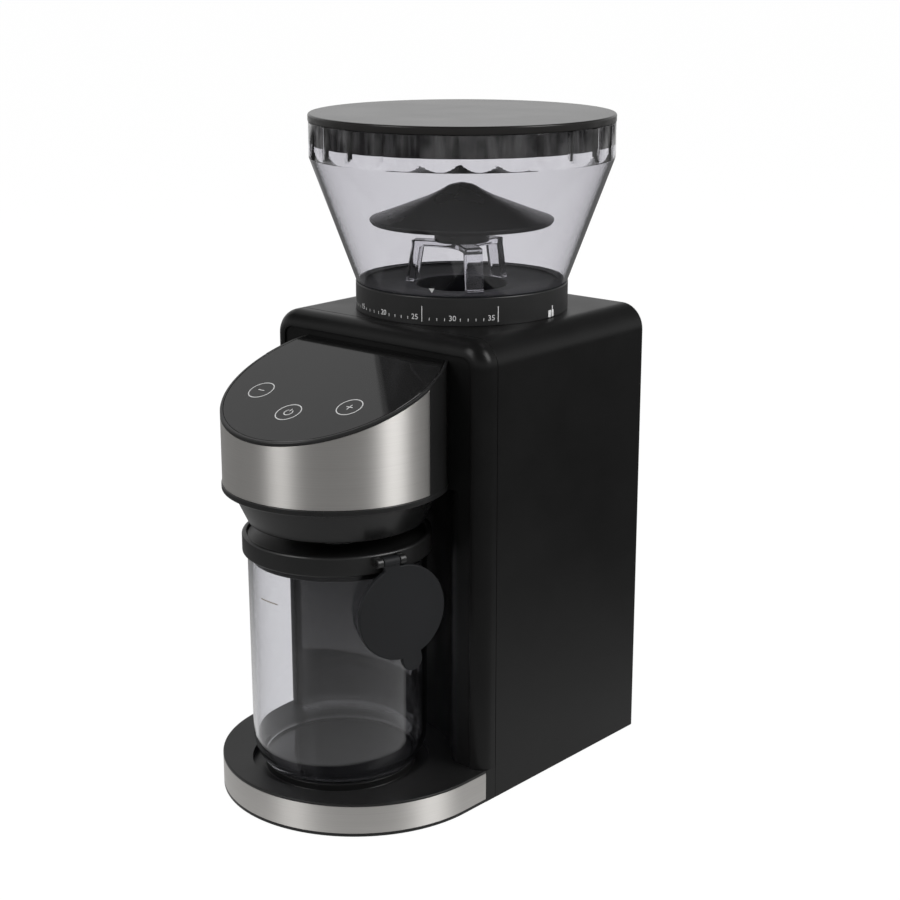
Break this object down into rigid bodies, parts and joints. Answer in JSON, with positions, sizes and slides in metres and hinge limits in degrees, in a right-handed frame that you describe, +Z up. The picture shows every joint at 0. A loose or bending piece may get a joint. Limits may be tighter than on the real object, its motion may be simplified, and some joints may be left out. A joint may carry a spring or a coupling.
{
  "type": "burr coffee grinder",
  "caption": "Electric burr coffee grinder: tower with a clear cone hopper, grind-setting collar, round head with a sloping touch panel, and a pull-out grounds jar.",
  "frame": {"origin": "under the middle of the object's box, on the surface it stands on", "axes": "+Z up, the front with the jar and the touch panel looks along -Y, +X to the right in front view"},
  "size_m": [0.1436, 0.211, 0.3089],
  "materials": {
    "tower_black": "satin moulded",
    "base_black": "fine satin moulded",
    "underside_black": "matte moulded",
    "foot_rubber": "matte",
    "band_steel": "brushed along its length",
    "screw_steel": "zinc plated",
    "head_black": "glossy moulded",
    "panel_black": "polished",
    "board_green": "circuit board",
    "chute_black": "moulded",
    "collar_black": "satin moulded, printed scale",
    "hopper_clear": "clear, slightly smoky",
    "dish_smoke": "glossy moulded",
    "lid_black": "satin moulded",
    "carrier_black": "moulded",
    "burr_steel": "ground",
    "gear_steel": "machined",
    "gear_nylon": "moulded",
    "case_grey": "glass-filled, matte",
    "bearing_bronze": "sintered",
    "armature_core": "laminated and wound",
    "jar_clear": "clear, slightly smoky",
    "jar_lid_black": "satin moulded",
    "seal_rubber": "soft",
    "flap_rubber": "matte, soft"
  },
  "bodies": {
    "grinder_body": {"rear_housing": "tower_black", "front_housing": "tower_black", "base_tray": "base_black", "base_band": "band_steel", "bottom_plate": "underside_black", "rubber_feet": "foot_rubber", "base_screws": "screw_steel", "head_shell": "head_black", "head_band": "band_steel", "touch_panel": "panel_black", "touch_board": "board_green", "outlet_funnel": "head_black", "grounds_chute": "chute_black", "grind_collar": "collar_black", "idler_axle": "gear_steel", "gearbox_case": "case_grey", "gearbox_cover": "case_grey", "gearbox_screws": "screw_steel", "lower_bearing": "bearing_bronze", "upper_bearing": "bearing_bronze", "chamber_body": "case_grey", "chamber_screws": "screw_steel", "motor_can": "gear_steel", "motor_end_cap": "case_grey", "motor_screws": "screw_steel", "power_board": "board_green", "hopper_switch": "carrier_black", "cord_inlet": "underside_black"},
    "hopper": {"hopper_bowl": "hopper_clear", "hopper_dish": "dish_smoke", "guard_bridge": "hopper_clear", "bean_guard": "dish_smoke"},
    "lid": {"hopper_lid": "lid_black"},
    "carrier": {"burr_carrier": "carrier_black", "ring_burr": "burr_steel"},
    "burr_drive": {"burr_shaft": "burr_steel", "output_gear": "gear_steel", "impeller": "carrier_black", "inner_burr": "burr_steel", "burr_nut": "burr_steel"},
    "idler": {"idler_gear": "gear_nylon"},
    "motor_rotor": {"motor_armature": "armature_core", "motor_pinion": "gear_steel"},
    "jar": {"jar_cup": "jar_clear", "jar_lid": "jar_lid_black", "jar_seal": "seal_rubber", "flap_pin": "gear_steel"},
    "flap": {"jar_flap": "flap_rubber"}
  },
  "joints": [
    {"name": "hopper_turn", "type": "hinge", "parent": "grinder_body", "child": "hopper", "pos_m": [0, 0.03375, 0.2311], "axis": [0, 0, 1], "range_deg": [-109, 76]},
    {"name": "carrier_climb", "type": "slide", "parent": "hopper", "child": "carrier", "axis": [0, 0, 1], "range_m": [-0.00107, 0.00075]},
    {"name": "lid_lift", "type": "slide", "parent": "hopper", "child": "lid", "axis": [0, 0, 1], "range_m": [0, 0.08]},
    {"name": "burr_spin", "type": "hinge", "parent": "grinder_body", "child": "burr_drive", "pos_m": [0, 0.03375, 0.19], "axis": [0, 0, 1], "continuous": true},
    {"name": "idler_spin", "type": "hinge", "parent": "grinder_body", "child": "idler", "pos_m": [0, 0.06075, 0.13], "axis": [0, 0, 1], "continuous": true},
    {"name": "motor_spin", "type": "hinge", "parent": "grinder_body", "child": "motor_rotor", "pos_m": [0, 0.03375, 0.09], "axis": [0, 0, 1], "continuous": true},
    {"name": "jar_pull", "type": "slide", "parent": "grinder_body", "child": "jar", "axis": [0, -1, 0], "range_m": [0, 0.12]},
    {"name": "flap_swing", "type": "hinge", "parent": "jar", "child": "flap", "pos_m": [0.04441, -0.06648, 0.1247], "axis": [-0.2756, -0.9613, 0], "range_deg": [0, 150]}
  ],
  "couplings": [
    {"joint": "carrier_climb", "follows": "hopper_turn", "m_per_rad": 0.000557},
    {"joint": "idler_spin", "follows": "burr_spin", "ratio": -2.75},
    {"joint": "motor_spin", "follows": "burr_spin", "ratio": 11}
  ]
}
